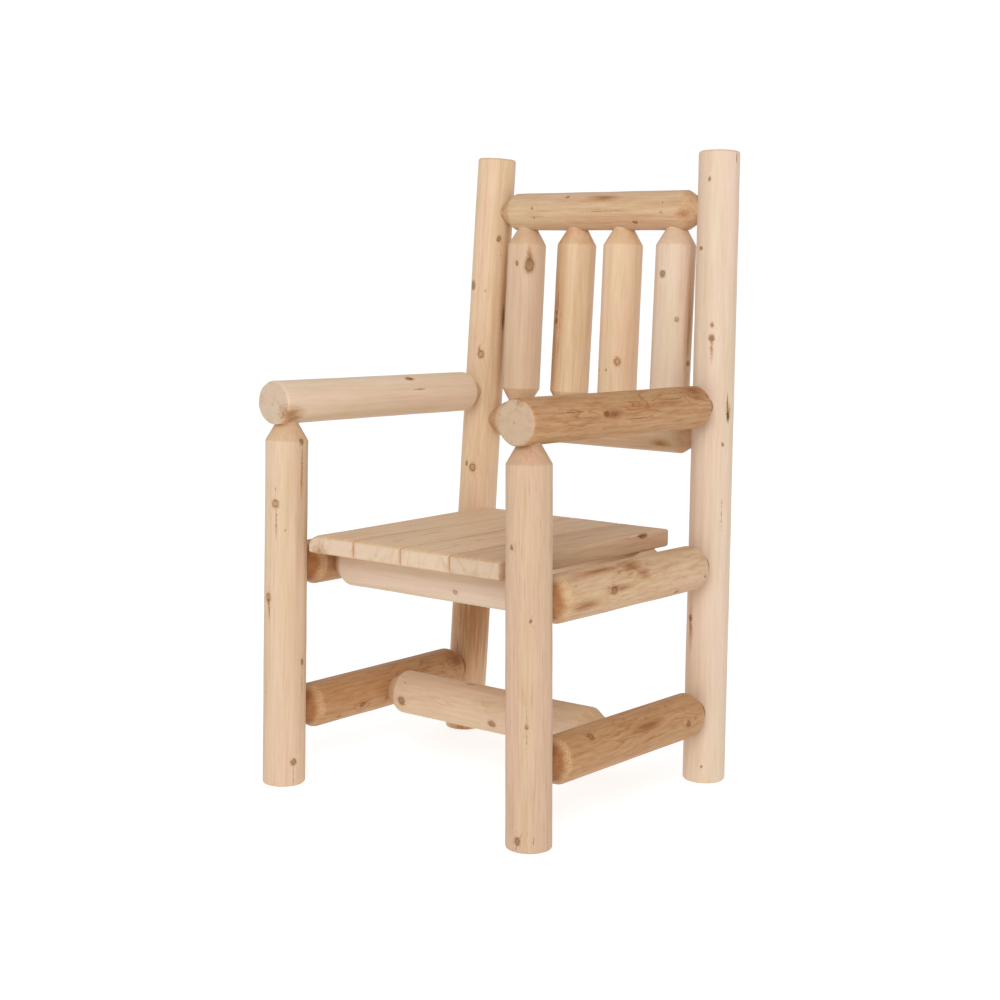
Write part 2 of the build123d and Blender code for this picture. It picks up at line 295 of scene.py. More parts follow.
looks = {
    "front_left_leg": (cream, 0.6, 0.05, 0.1, 0.3),
    "front_right_leg": (wheat, 0.7, 0.05, 0.15, 0.8),
    "rear_left_post": (straw, 0.7, 0.1, 0.1, 0.3),
    "rear_right_post": (blush, 0.5, 0.05, 0.1, 0.2),
    "left_armrest": (shell, 0.5, 0.1, 0.1, 0.2),
    "right_armrest": (brown, 0.9, 1.0, 0.3, 0.4),
    "left_seat_rail": (brown, 0.7, 0.3, 0.9, 0.3),
    "right_seat_rail": (honey, 1.0, 0.8, 1.0, 0.3),
    "left_stretcher": (brown, 0.7, 0.8, 0.8, 0.3),
    "right_stretcher": (brown, 0.7, 0.8, 0.9, 0.3),
    "cross_stretcher": (cream, 0.5, 0.4, 0.1, 0.2),
    "front_seat_rail": (blush, 0.5, 0.05, 0.9, 0.2),
    "rear_seat_rail": (cream, 0.7, 0.2, 0.1, 0.3),
    "crest_rail": (honey, 0.9, 0.4, 0.1, 0.5),
    "lower_back_rail": (honey, 0.7, 0.2, 0.3, 0.3),
    "back_spindle_1": (cream, 0.6, 0.05, 0.1, 0.3),
    "back_spindle_2": (straw, 0.8, 0.05, 0.1, 0.3),
    "back_spindle_3": (straw, 0.5, 0.05, 0.1, 0.3),
    "back_spindle_4": (blush, 0.5, 0.05, 0.1, 0.2),
    "seat_board_1": (sand, 0.8, 0.2, 0.0, 0.4),
    "seat_board_2": (sand, 0.8, 0.2, 0.0, 0.4),
    "seat_board_3": (sand, 0.8, 0.2, 0.0, 0.4),
    "seat_board_4": (honey, 0.8, 0.2, 0.0, 0.4),
}

# What the wood's colour is multiplied by where each of its patterns is full, and the tone of the
# rim round the heart
tints = {
    "pinkish": (1.03, 0.975, 1.0),
    "golden": (0.99, 0.985, 0.94),
    "shade": (0.92, 0.86, 0.79),
    "line": (0.75, 0.62, 0.5),
    "fleck": (0.76, 0.63, 0.52),
    "growth_ring": (0.76, 0.62, 0.48),
    "mottle": (0.87, 0.77, 0.65),
    "heart": (0.67, 0.48, 0.3),
    "cone": (0.95, 0.9, 0.83),
    "end_ring": (0.8, 0.66, 0.52),
    "ray": (0.78, 0.66, 0.54),
    "open_grain": (0.8, 0.68, 0.56),
    "blotch": (0.85, 0.77, 0.68),
    "pith": (0.7, 0.55, 0.42),
    # These two darken stained patches, and the few marks of painted shade too.
    "stain": (0.72, 0.55, 0.38),
    "stain_and_shade_core": (0.62, 0.47, 0.33),
    # Darkens splits, and the painted shade line on the left board's front end too.
    "crack": (0.3, 0.19, 0.11),
}
rim_tone = (0.68, 0.5, 0.32)

# Tints of a knot from its middle out. The ramps reach knot_reach radii of a knot, and mark_reach
# radii of a crack or a figured patch.
knot_reach = 4.0
mark_reach = 2.0
ring_knot_tints = (
    (0.0, (0.5, 0.41, 0.33)), (0.06, (0.72, 0.62, 0.51)), (0.15, (0.78, 0.67, 0.55)),
    (0.2, (0.34, 0.26, 0.19)), (0.245, (0.62, 0.51, 0.4)), (0.3, (0.88, 0.8, 0.7)), (0.45, (1, 1, 1)),
)
spot_knot_tints = (
    (0.0, (0.49, 0.39, 0.29)), (0.14, (0.55, 0.45, 0.35)), (0.2, (0.37, 0.29, 0.22)),
    (0.25, (0.59, 0.49, 0.39)), (0.31, (0.88, 0.82, 0.73)), (0.42, (1, 1, 1)),
)

# Sizes of the wood's patterns: growth rings on a surface and on a sawn end, how far the heart
# and the pith reach, how far each log's pith is off its axis, how far apart two pieces' patterns
# are taken, and how far the edges of knots and stained patches (a few of them painted shade), and
# of splits (one of them a painted shade line), stray
rings_per_metre = 330.0
end_rings_per_metre = 430.0
heart_reach = 0.05
pith_reach = 0.01
pith_offset = 0.003
seed_stride = 0.37
seed_shares = (1, 2.3, 3.7)
ragged_stray = (0.006, 0.006, 0.008)
jagged_stray = (0.003, 0.003, 0.01)
far_away = 9.0
cedar_inputs = {
    "Vector": ("Point", "Seed", "Pith"),
    "Color": ("Pale", "Tan", "End"),
    "Float": (
        "Streaks", "Figure", "Heart", "Checks", "Figured", "Ring", "Spot", "Stain", "Crack", "Cut",
    ),
}
cedar_outputs = {"Color": ("Color",), "Float": ("Roughness", "Height")}

# How far a face leans to the grain where a cone starts and is full, and likewise a sawn end, and
# the level of a cone in the "cut" attribute, where 0 is the barrel and 1 a sawn end
cone_facing = (0.3, 0.5)
end_facing = (0.7, 0.9)
cone_cut = 0.45

# Camera at the photograph's viewing angle
camera_place = Vector((1.92233, -2.42914, 0.91336))
camera_yaw = radians(38.55)
camera_pitch = radians(6.6)
camera_roll = radians(0.66)
camera_lens = 63.69
camera_shift = -0.03

# Studio
floor_reach = 40
floor_grey = (0.5, 0.5, 0.5, 1)
floor_roughness = 0.9
floor_glow = 0.7
world_light = 0.64
background_level = 1.02
white = (1, 1, 1, 1)
lamp_size = 2.6
lamp_energy = 140
lamp_place = Vector((2.8, -4.1, 3.3))
lamp_target = Vector((0, 0, 0.5))


# Shader helpers


def add_node(tree, kind, settings=None, **inputs):
    """Adds a shader node. Settings are its own properties, and inputs are values or sockets."""
    made = tree.nodes.new(kind)
    for key, value in (settings or {}).items():
        setattr(made, key, value)
    for key, value in inputs.items():
        socket = made.inputs[int(key[1:])] if key[1:].isdigit() else made.inputs[key]
        set_input(tree, socket, value)
    return made


def set_input(tree, socket, value):
    """Links a socket to another, or gives it a value."""
    if isinstance(value, bpy.types.NodeSocket):
        tree.links.new(value, socket)
    elif socket.type == "RGBA" and len(value) == 3:
        socket.default_value = (*value, 1)
    else:
        socket.default_value = value


def set_inputs(tree, node, values):
    """Links or sets several sockets of a node, by their names."""
    for key, value in values.items():
        set_input(tree, node.inputs[key], value)


def new_material(name):
    """A material, with its node tree and its surface shader."""
    material = bpy.data.materials.new(name)
    material.use_nodes = True
    return material, material.node_tree, material.node_tree.nodes["Principled BSDF"]


def math_node(tree, operation, *values):
    """A Math node's result."""
    inputs = {f"_{number}": value for number, value in enumerate(values)}
    return add_node(tree, "ShaderNodeMath", {"operation": operation}, **inputs).outputs[0]


def vector_math(tree, operation, *values):
    """A Vector Math node's result."""
    inputs = {f"_{number}": value for number, value in enumerate(values)}
    made = add_node(tree, "ShaderNodeVectorMath", {"operation": operation}, **inputs)
    return made.outputs["Value" if operation in ("LENGTH", "DISTANCE") else "Vector"]


def ramp(tree, value, *stops):
    """Maps a value through straight stretches between (place, level) stops."""
    made = add_node(tree, "ShaderNodeValToRGB", Fac=value)
    elements = made.color_ramp.elements
    while len(elements) < len(stops):
        elements.new(0.5)
    for element, (place, level) in zip(elements, stops):
        element.position = place
        colour = level if isinstance(level, tuple) else (level,) * 3
        element.color = (*colour, 1)
    return made.outputs["Color"]


def noise(tree, point, scale, detail=2.0, roughness=0.5, distortion=0.0):
    """A noise pattern from 0 to 1."""
    made = add_node(
        tree, "ShaderNodeTexNoise", Vector=point, Scale=scale, Detail=detail,
        Roughness=roughness, Distortion=distortion,
    )
    return made.outputs["Fac"]


def mix(tree, how, share, first, second):
    """Mixes two colours."""
    made = add_node(
        tree, "ShaderNodeMix", {"data_type": "RGBA", "blend_type": how}, _0=share, _6=first, _7=second
    )
    return made.outputs[2]


def along_grain(tree, point, share):
    """Draws a pattern out along the grain, by shrinking its coordinate there."""
    return vector_math(tree, "MULTIPLY", point, (1, 1, share))


def nearest_mark(tree, point, marks, radius_at):
    """Distance to the nearest mark, where 1 is that mark's edge."""
    nearest = None
    for turn, place, across, along in marks:
        radius = radius_at(turn, place)
        centre = (radius * cos(radians(turn)), radius * sin(radians(turn)), place)
        scale = (1 / across, 1 / across, 1 / along)
        scaled = vector_math(tree, "MULTIPLY", point, scale)
        distance = vector_math(tree, "DISTANCE", scaled, tuple(c * s for c, s in zip(centre, scale)))
        nearest = distance if nearest is None else math_node(tree, "MINIMUM", nearest, distance)
    return nearest


def times(tree, value, factor):
    """A value times another."""
    return math_node(tree, "MULTIPLY", value, factor)


def tinted(tree, colour, share, tint):
    """A colour with a share of the named tint."""
    return mix(tree, "MULTIPLY", share, colour, tints[tint])


# The wood itself, shared by all pieces, with its grain along z


def wood_patterns(tree, given):
    """Patterns that several looks of the wood share. The grain swerves round knots."""
    ring_knot = math_node(tree, "DIVIDE", given["Ring"], knot_reach)
    spot_knot = math_node(tree, "DIVIDE", given["Spot"], knot_reach)
    knot = math_node(tree, "MINIMUM", ring_knot, spot_knot)
    swerve = ramp(tree, knot, (0.0, 1.0), (0.35, 0.45), (1.0, 0.0))
    placed = vector_math(tree, "ADD", given["Point"], given["Seed"])
    bent = vector_math(tree, "ADD", placed, vector_math(tree, "MULTIPLY", swerve, (0.01, 0.01, 0.01)))
    flecks = noise(tree, along_grain(tree, bent, 0.035), 520, 1.0)
    flecks = times(tree, ramp(tree, flecks, (0.62, 0.0), (0.72, 1.0)), given["Checks"])
    flecks = times(tree, flecks, ramp(tree, noise(tree, placed, 30, 1.0), (0.4, 0.2), (0.6, 1.0)))
    # The split mask also carries a painted shade line on the left board's front end.
    crack = math_node(tree, "DIVIDE", given["Crack"], mark_reach)
    across = along_grain(tree, vector_math(tree, "SUBTRACT", given["Point"], given["Pith"]), 0.0)
    return SimpleNamespace(
        ring_knot=ring_knot, spot_knot=spot_knot, swerve=swerve, placed=placed, bent=bent, flecks=flecks,
        streak=noise(tree, along_grain(tree, bent, 0.05), 210, 4.0, 0.6, 0.3),
        lines=noise(tree, along_grain(tree, bent, 0.022), 900, 2.0, 0.6),
        layers=noise(tree, along_grain(tree, bent, 0.2), 42, 2.0, 0.45, 0.2),
        speckle=noise(tree, placed, 700, 1.0), crack=ramp(tree, crack, (0.3, 1.0), (0.75, 0.0)),
        across=across, out=vector_math(tree, "LENGTH", across),
    )


def grain_colour(tree, given, wood):
    """Wide bands of pinkish and golden wood, streaks along the grain, lines and flecks."""
    bands = noise(tree, along_grain(tree, wood.placed, 0.09), 36, 2.0, 0.55)
    shades = noise(tree, along_grain(tree, wood.placed, 0.04), 75)
    streaks = times(tree, ramp(tree, wood.streak, (0.38, 0.0), (0.68, 1.0)), given["Streaks"])
    colour = mix(tree, "MIX", streaks, given["Pale"], given["Tan"])
    pinkish = tinted(tree, colour, 1.0, "pinkish")
    golden = tinted(tree, colour, 1.0, "golden")
    colour = mix(tree, "MIX", ramp(tree, bands, (0.38, 0.0), (0.62, 1.0)), pinkish, golden)
    shade = times(tree, ramp(tree, shades, (0.5, 0.0), (0.68, 1.0)), given["Streaks"])
    colour = tinted(tree, colour, shade, "shade")
    line = times(tree, ramp(tree, wood.lines, (0.54, 0.0), (0.75, 1.0)), 0.3)
    colour = tinted(tree, colour, line, "line")
    return tinted(tree, colour, wood.flecks, "fleck")


def figured_colour(tree, given, wood, colour):
    """Growth rings that the surface cuts across, in figured patches and faintly elsewhere."""
    depth = math_node(tree, "ADD", wood.out, times(tree, wood.layers, 0.024))
    depth = math_node(tree, "SUBTRACT", depth, times(tree, wood.swerve, 0.006))
    ring = math_node(tree, "FRACT", times(tree, depth, rings_per_metre))
    ring = ramp(tree, ring, (0.0, 0.4), (0.1, 0.0), (0.7, 0.08), (0.92, 1.0), (1.0, 1.0))
    patch = ramp(tree, math_node(tree, "DIVIDE", given["Figured"], mark_reach), (0.35, 1.0), (0.6, 0.12))
    ring = times(tree, times(tree, ring, patch), given["Figure"])
    colour = tinted(tree, colour, ring, "growth_ring")
    mottle = noise(tree, along_grain(tree, wood.bent, 0.2), 120, 3.0, 0.6)
    mottle = times(tree, ramp(tree, mottle, (0.46, 0.0), (0.66, 1.0)), given["Figure"])
    return tinted(tree, colour, mottle, "mottle")


def heart_colour(tree, given, wood, colour):
    """The heart, which shows brown where a cone is cut into it, with a speckled rim."""
    radial = vector_math(tree, "LENGTH", along_grain(tree, given["Point"], 0.0))
    wobble = times(tree, math_node(tree, "SUBTRACT", wood.layers, 0.5), 0.006)
    radial = times(tree, math_node(tree, "ADD", radial, wobble), 1 / heart_reach)
    heart = ramp(tree, radial, (0.56, 1.0), (0.7, 0.0))
    colour = tinted(tree, colour, times(tree, heart, given["Heart"]), "heart")
    rim = ramp(tree, radial, (0.6, 0.0), (0.68, 1.0), (0.76, 1.0), (0.8, 0.3))
    rim = times(tree, rim, given["Heart"])
    rim = times(tree, rim, ramp(tree, given["Cut"], (0.2, 0.0), (0.4, 1.0)))
    rim = times(tree, rim, ramp(tree, wood.speckle, (0.46, 0.05), (0.62, 0.8)))
    return mix(tree, "MIX", rim, colour, rim_tone)


def cut_colour(tree, given, wood, colour):
    """Cones, a little browner, and sawn ends with growth rings, rays and a speckle of open grain."""
    cone = ramp(tree, given["Cut"], (0.1, 0.0), (0.4, 1.0), (0.5, 1.0), (0.8, 0.0))
    colour = tinted(tree, colour, cone, "cone")
    ring = math_node(tree, "ADD", wood.out, times(tree, noise(tree, wood.placed, 40), 0.006))
    ring = math_node(tree, "FRACT", times(tree, ring, end_rings_per_metre))
    ring = times(tree, ramp(tree, ring, (0.0, 0.0), (0.8, 0.7), (1.0, 0.0)), 0.3)
    rays = noise(tree, vector_math(tree, "NORMALIZE", wood.across), 9, 3.0, 0.6)
    blotch = noise(tree, wood.placed, 70, 3.0)
    end_tone = given["End"]
    for share, tint in (
        (ring, "end_ring"),
        (ramp(tree, rays, (0.56, 0.0), (0.66, 0.35)), "ray"),
        (ramp(tree, wood.speckle, (0.45, 0.0), (0.8, 0.4)), "open_grain"),
        (ramp(tree, blotch, (0.5, 0.0), (0.7, 0.6)), "blotch"),
        (ramp(tree, times(tree, wood.out, 1 / pith_reach), (0.1, 0.6), (0.35, 0.0)), "pith"),
    ):
        end_tone = tinted(tree, end_tone, share, tint)
    return mix(tree, "MIX", ramp(tree, given["Cut"], (0.5, 0.0), (0.9, 1.0)), colour, end_tone)


def marked_colour(tree, given, wood, colour):
    """Stained patches with streaky edges, a few of them painted shade, then knots, and splits, one of them
    a painted shade line.
    """
    stray = times(tree, math_node(tree, "SUBTRACT", wood.streak, 0.5), 1.6)
    stain = math_node(tree, "ADD", given["Stain"], stray)
    colour = tinted(tree, colour, ramp(tree, stain, (0.25, 0.85), (0.65, 0.5), (1.0, 0.0)), "stain")
    colour = tinted(tree, colour, ramp(tree, stain, (0.1, 0.7), (0.5, 0.0)), "stain_and_shade_core")
    for knot, knot_tints in ((wood.ring_knot, ring_knot_tints), (wood.spot_knot, spot_knot_tints)):
        colour = mix(tree, "MULTIPLY", 1.0, colour, ramp(tree, knot, *knot_tints))
    return tinted(tree, colour, times(tree, wood.crack, 0.85), "crack")


def relief_height(tree, wood):
    """Height of the finest relief: streaks and lines, and splits (the painted shade line on the left board
    among them), flecks and knot edges sunk in.
    """
    height = math_node(tree, "ADD", times(tree, wood.streak, 0.35), times(tree, wood.lines, 0.25))
    for sunk in (
        times(tree, wood.crack, 1.5),
        times(tree, wood.flecks, 0.3),
        ramp(tree, wood.ring_knot, (0.17, 0.0), (0.22, 0.5), (0.27, 0.0)),
    ):
        height = math_node(tree, "SUBTRACT", height, sunk)
    return height


def cedar_group():
    """A node group with the wood's colour, roughness and relief."""
    tree = bpy.data.node_groups.new("cedar", "ShaderNodeTree")
    for way, sockets in (("INPUT", cedar_inputs), ("OUTPUT", cedar_outputs)):
        for kind, names in sockets.items():
            for name in names:
                tree.interface.new_socket(name, in_out=way, socket_type="NodeSocket" + kind)
    given = tree.nodes.new("NodeGroupInput").outputs
    result = tree.nodes.new("NodeGroupOutput").inputs
    wood = wood_patterns(tree, given)
    colour = grain_colour(tree, given, wood)
    for look in (figured_colour, heart_colour, cut_colour, marked_colour):
        colour = look(tree, given, wood, colour)
    tree.links.new(colour, result["Color"])
    tree.links.new(ramp(tree, wood.streak, (0.3, 0.5), (0.7, 0.62)), result["Roughness"])
    tree.links.new(relief_height(tree, wood), result["Height"])
    return tree


cedar = cedar_group()


def cedar_material(name, seed, pith, radius_at):
    """The cedar of one piece, with its own tones and marks."""
    (pale, tan_tone, end_tone), streaks, figure, heart, checks = looks[name]
    material, tree, surface = new_material(name + "_cedar")
    point = add_node(tree, "ShaderNodeAttribute", {"attribute_name": "grain"}).outputs["Vector"]
    wander = add_node(tree, "ShaderNodeTexNoise", Vector=point, Scale=220.0, Detail=3.0).outputs["Color"]
    wander = vector_math(tree, "SUBTRACT", wander, (0.5, 0.5, 0.5))
    ragged = vector_math(tree, "ADD", point, vector_math(tree, "MULTIPLY", wander, ragged_stray))
    jagged = vector_math(tree, "ADD", point, vector_math(tree, "MULTIPLY", wander, jagged_stray))
    wood = add_node(tree, "ShaderNodeGroup", {"node_tree": cedar})
    values = {
        "Point": point, "Seed": tuple(seed_stride * seed * share for share in seed_shares), "Pith": pith,
        "Pale": pale, "Tan": tan_tone, "End": end_tone,
        "Streaks": streaks, "Figure": figure, "Heart": heart, "Checks": checks,
        "Cut": add_node(tree, "ShaderNodeAttribute", {"attribute_name": "cut"}).outputs["Fac"],
    }
    # Among the stained patches and splits are a few marks of painted shade.
    for field, table, where in (
        ("Figured", figured, point), ("Ring", rings, ragged), ("Spot", spots, ragged),
        ("Stain", stains_and_shade, ragged), ("Crack", cracks_and_shade_lines, jagged),
    ):
        marks = table.get(name, [])
        values[field] = nearest_mark(tree, where, marks, radius_at) if marks else far_away
    set_inputs(tree, wood, values)
    bump = add_node(tree, "ShaderNodeBump", Height=wood.outputs["Height"], Strength=0.25, Distance=0.001)
    set_inputs(tree, surface, {
        "Base Color": wood.outputs["Color"], "Roughness": wood.outputs["Roughness"],
        "Normal": bump.outputs["Normal"], "Specular IOR Level": 0.3,
    })
    return material


def zinc_material():
    """Zinc-plated steel with a faint spangle and fine scratches."""
    material, tree, surface = new_material("zinc")
    point = tree.nodes.new("ShaderNodeTexCoord").outputs["Object"]
    spangle = noise(tree, point, 900, 2.0)
    scratches = noise(tree, vector_math(tree, "MULTIPLY", point, (1, 8, 1)), 1500, 2.0)
    bump = add_node(tree, "ShaderNodeBump", Height=scratches, Strength=0.15, Distance=0.0002)
    set_inputs(tree, surface, {
        "Base Color": mix(tree, "MIX", spangle, (0.52, 0.53, 0.52), (0.68, 0.68, 0.65)),
        "Roughness": ramp(tree, scratches, (0.3, 0.28), (0.7, 0.45)),
        "Normal": bump.outputs["Normal"], "Metallic": 1.0,
    })
    return material


# Log shapes


def frame_of(origin, axis, across):
    """A log's own frame: z along its axis, and x as near as can be to the direction across."""
    z = Vector(axis).normalized()
    x = (Vector(across) - z * z.dot(across)).normalized()
    y = z.cross(x)
    rotation = Matrix((x, y, z)).transposed().to_4x4()
    return Matrix.Translation(origin) @ rotation


def soft_minimum(surfaces, softness):
    """The least of some radii, with their crossings rounded off."""
    total = sum(np.exp(-(surface - surfaces[0]) / softness) for surface in surfaces)
    return surfaces[0] - softness * np.log(total)


def log_stations(length, seats):
    """Places of a log's rings, closer together at its cones and eased edges."""
    cone = (rail_radius - tenon_radius) / cone_slope + tenon_ease
    places = []
    for seat in seats:
        if seat is None:
            near = [sawn_ease * (1 - cos(radians(angle))) for angle in sawn_angles]
        else:
            near = [-seat - tenon_length, -seat - tenon_length + tip_step, -seat]
            near += list(np.arange(-seat + cone_step, cone, cone_step))
        places.append(near)
    start, stop = places[0][-1], length - places[1][-1]
    middle = list(np.linspace(start, stop, max(3, round((stop - start) / ring_step)))[1:-1])
    return np.array(places[0] + middle + [length - place for place in reversed(places[1])])


def barrel_surface(name, turn, place, full, radii, relief, seed):
    """Radius of a log's barrel, with flats, waves and knots, at each place along and turn round it."""
    chance = np.random.default_rng(seed)
    surfaces = [full]
    for number in range(flat_count):
        facing_turn = 2 * pi * (number + chance.uniform(-flat_stray, flat_stray)) / flat_count
        depth = relief * flat_depth * chance.uniform(*flat_depth_shares)
        period, phase = chance.uniform(*flat_periods), chance.uniform(0, 2 * pi)
        facing = np.maximum(np.cos(turn - facing_turn), flat_least_facing)
        planed = full - depth * (0.6 + 0.4 * np.sin(2 * pi * place / period + phase))
        surfaces.append(planed / facing)
    barrel = soft_minimum(surfaces, relief * flat_softness)
    for _ in range(wave_count):
        phase, rate = chance.uniform(0, 2 * pi), chance.uniform(*wave_rates)
        count = chance.integers(1, 6)
        barrel = barrel - relief * wave_depth * (1 + np.sin(count * turn + rate * place + phase)) / 2
    for knot_turn, knot_place, across, along in rings.get(name, []) + spots.get(name, []):
        arc = np.angle(np.exp(1j * (turn - radians(knot_turn)))) * radii[0]
        height = min(knot_rise, across / 10)
        barrel = barrel + height * np.exp(-((arc / across) ** 2 + ((place - knot_place) / along) ** 2) / 5)
    return np.minimum(barrel, full)


def log_surface(name, turns, places, length, radii, seats, relief, seed):
    """Radius of a whole log, with its eased sawn ends, cones and tenons."""
    place, turn = places[:, None], turns[None, :]
    full = radius_between(radii, np.clip(place / length, 0, 1)) + 0 * turn
    surfaces = [barrel_surface(name, turn, place, full, radii, relief, seed)]
    inwards = (place, length - place)
    for inward, seat in zip(inwards, seats):
        if seat is None:
            eased = np.clip(inward / sawn_ease, 0, 1)
            surfaces[0] = surfaces[0] - sawn_ease * (1 - np.sqrt(1 - (1 - eased) ** 2))
        else:
            cone = tenon_radius + (inward + seat) * cone_slope
            surfaces.append(np.maximum(tenon_radius, cone) + 0 * turn)
    outside = soft_minimum(surfaces, cone_softness) if len(surfaces) > 1 else surfaces[0]
    for inward, seat in zip(inwards, seats):
        if seat is not None:
            outside = np.where(inward <= -seat, tenon_radius, outside)
            tip = inward < -seat - tenon_length + tip_step / 2
            outside = np.where(tip, tenon_radius - tip_step, outside)
    return outside


def ring_mesh(name, loops, ends):
    """A closed mesh of loops round z. Inner loops and a centre point cap it at both ends."""
    count, around = loops.shape[:2]
    points = loops.reshape(-1, 3).tolist()
    pairs = [(segment, (segment + 1) % around) for segment in range(around)]
    faces = [
        (first + a, first + b, first + b + around, first + a + around)
        for first in range(0, (count - 1) * around, around) for a, b in pairs
    ]
    for loop, end, order in ((0, ends[0], -1), (count - 1, ends[1], 1)):
        centre = np.array((0, 0, end))
        outer = range(loop * around, (loop + 1) * around)
        for share in cap_shares:
            inner = range(len(points), len(points) + around)
            points += (centre + (loops[loop] - centre) * share).tolist()
            faces += [(outer[a], outer[b], inner[b], inner[a])[::order] for a, b in pairs]
            outer = inner
        faces += [(outer[a], outer[b], len(points))[::order] for a, b in pairs]
        points.append(centre.tolist())
    mesh = bpy.data.meshes.new(name)
    mesh.from_pydata(points, [], faces)
    mesh.update()
    return mesh


def add_object(name, data, placed):
    """Adds an object with the given data at a place."""
    made = bpy.data.objects.new(name, data)
    bpy.context.collection.objects.link(made)
    made.matrix_world = placed
    bpy.context.view_layer.update()
    return made


def cut_away(piece, cutter_mesh, placed):
    """Takes a cutter's shape out of a piece."""
    cutter = add_object("cutter", cutter_mesh, placed)
    cut = piece.modifiers.new("cut", "BOOLEAN")
    cut.operation = "DIFFERENCE"
    cut.solver = "MANIFOLD"
    cut.object = cutter
    with bpy.context.temp_override(object=piece):
        bpy.ops.object.modifier_apply(modifier=cut.name)
    bpy.data.objects.remove(cutter)


def cut_round(piece, mouth, direction, corners):
    """Cuts a round hole whose outline is given as (radius, place) corners from the mouth in."""
    turns = np.linspace(0, 2 * pi, hole_segments, endpoint=False)
    loops = np.array([
        [(radius * cos(turn), radius * sin(turn), place) for turn in turns] for radius, place in corners
    ])
    placed = frame_of(mouth, direction, Vector(direction).orthogonal())
    cut_away(piece, ring_mesh("cutter", loops, (corners[0][1], corners[-1][1])), placed)


def bore(piece, mouth, direction, seat):
    """Cuts the tapered mortise for a tenon."""
    straight = tenon_radius + joint_clearance
    flared = straight + (seat + overrun) * cone_slope
    depth = seat + tenon_length + mortise_relief
    cut_round(piece, mouth, direction, ((flared, -overrun), (straight, seat), (straight, depth)))


def plane_top(piece):
    """Planes a cross rail flat where the boards lie."""
    block = bmesh.new()
    bmesh.ops.create_cube(block, size=1)
    mesh = bpy.data.meshes.new("cutter")
    block.to_mesh(mesh)
    block.free()
    cut_away(piece, mesh, Matrix.Translation((0, 0, planed_height + 0.5)))


def rise(values, low, high):
    """Values as shares of the way from low to high, from 0 to 1."""
    return np.clip((values - low) / (high - low), 0, 1)


def finish_piece(piece, name, pith, radius_at):
    """Gives a wooden piece its shading and cedar, and puts it in place of its CAD node."""
    mesh = piece.data
    mesh.shade_smooth()
    mesh.set_sharp_from_angle(angle=sharp_angle)
    normals = np.zeros(len(mesh.polygons) * 3)
    mesh.polygons.foreach_get("normal", normals)
    across = np.abs(normals.reshape(-1, 3)[:, 2])
    cut = rise(across, *cone_facing) * cone_cut + rise(across, *end_facing) * (1 - cone_cut)
    mesh.attributes.new("cut", "FLOAT", "FACE").data.foreach_set("value", cut)
    grain = np.zeros(len(mesh.vertices) * 3)
    mesh.vertices.foreach_get("co", grain)
    mesh.attributes.new("grain", "FLOAT_VECTOR", "POINT").data.foreach_set("vector", grain)
    mesh.transform(piece.matrix_world)
    piece.matrix_world = Matrix()
    mesh.materials.clear()
    mesh.materials.append(cedar_material(name, seed_of(name), pith, radius_at))
    mesh.polygons.foreach_set("material_index", [0] * len(mesh.polygons))
    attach(piece, "root")
    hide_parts(name)


def seed_of(name):
    """A number for each piece, so that no two have the same grain."""
    return 1 + list(looks).index(name)


def mark_far_side(name, length, upright):
    """Adds knots, a stained patch and a split on the side of a log that faces away from the camera."""
    chance = np.random.default_rng(far_seed + seed_of(name))
    away = far_angle_upright if upright else far_angle_level
    for table, count, across, along in (
        (rings, round(length / far_ring_spacing), 0.0055, 0.0065),
        (spots, round(length / far_spot_spacing), 0.003, 0.004),
        (stains_and_shade, 1, 0.011, 0.06),
        (cracks_and_shade_lines, 1, 0.0012, 0.04),
    ):
        for _ in range(count):
            turn = away + chance.uniform(-far_angle_stray, far_angle_stray)
            place = length * chance.uniform(*far_places)
            size = chance.uniform(*far_sizes)
            table.setdefault(name, []).append((turn, place, across * size, along * size))


def level_foot(loops, placed):
    """Slides the rings next to a leaning log's foot along it, so that the foot lies on the floor."""
    up = placed.to_3x3().inverted() @ upward
    lift = -(loops[..., 0] * up.x + loops[..., 1] * up.y) / up.z
    loops[..., 2] += lift * np.clip(1 - loops[..., 2] / foot_blend, 0, 1)


def build_log(name, near, far, radii, seats, across, mortises=(), relief=1.0, screw_place=None):
    """Builds one log and puts it in place of its CAD node. A seat of None is a sawn end."""
    near, far = Vector(near), Vector(far)
    length = (far - near).length
    placed = frame_of(near, far - near, across)
    mark_far_side(name, length, upright=abs(placed.col[2].z) > 0.5)
    turns = np.linspace(0, 2 * pi, segments, endpoint=False)
    places = log_stations(length, seats)
    seed = seed_of(name)
    radius = log_surface(name, turns, places, length, radii, seats, relief, seed)
    along = np.broadcast_to(places[:, None], radius.shape)
    loops = np.stack([radius * np.cos(turns), radius * np.sin(turns), along], axis=-1)
    if near.z == 0:
        level_foot(loops, placed)
    piece = add_object(name + "_log", ring_mesh(name + "_log", loops, (places[0], places[-1])), placed)
    for mouth, direction, seat in mortises:
        bore(piece, mouth, direction, seat)
    if screw_place is not None:
        plane_top(piece)
        for x in screw_offsets:
            cut_round(piece, (x, screw_place, rail_height - rail_radius), upward, counterbore)
    pith = (pith_offset * cos(seed), pith_offset * sin(seed), 0)
    finish_piece(piece, name, pith, lambda turn, place: radius_between(radii, place / length))


# Seat boards


def shell_grid(steps):
    """Points and faces of a box's surface, cut at the given steps along each axis."""
    numbers, points, faces = {}, [], []

    def corner(place):
        if place not in numbers:
            numbers[place] = len(points)
            points.append([axis[i] for axis, i in zip(steps, place)])
        return numbers[place]

    for axis in range(3):
        first, second = (axis + 1) % 3, (axis + 2) % 3
        for end in (0, len(steps[axis]) - 1):
            for i in range(len(steps[first]) - 1):
                for j in range(len(steps[second]) - 1):
                    quad = []
                    for di, dj in ((0, 0), (1, 0), (1, 1), (0, 1)):
                        place = [0, 0, 0]
                        place[axis], place[first], place[second] = end, i + di, j + dj
                        quad.append(corner(tuple(place)))
                    faces.append(quad if end else quad[::-1])
    return np.array(points), faces


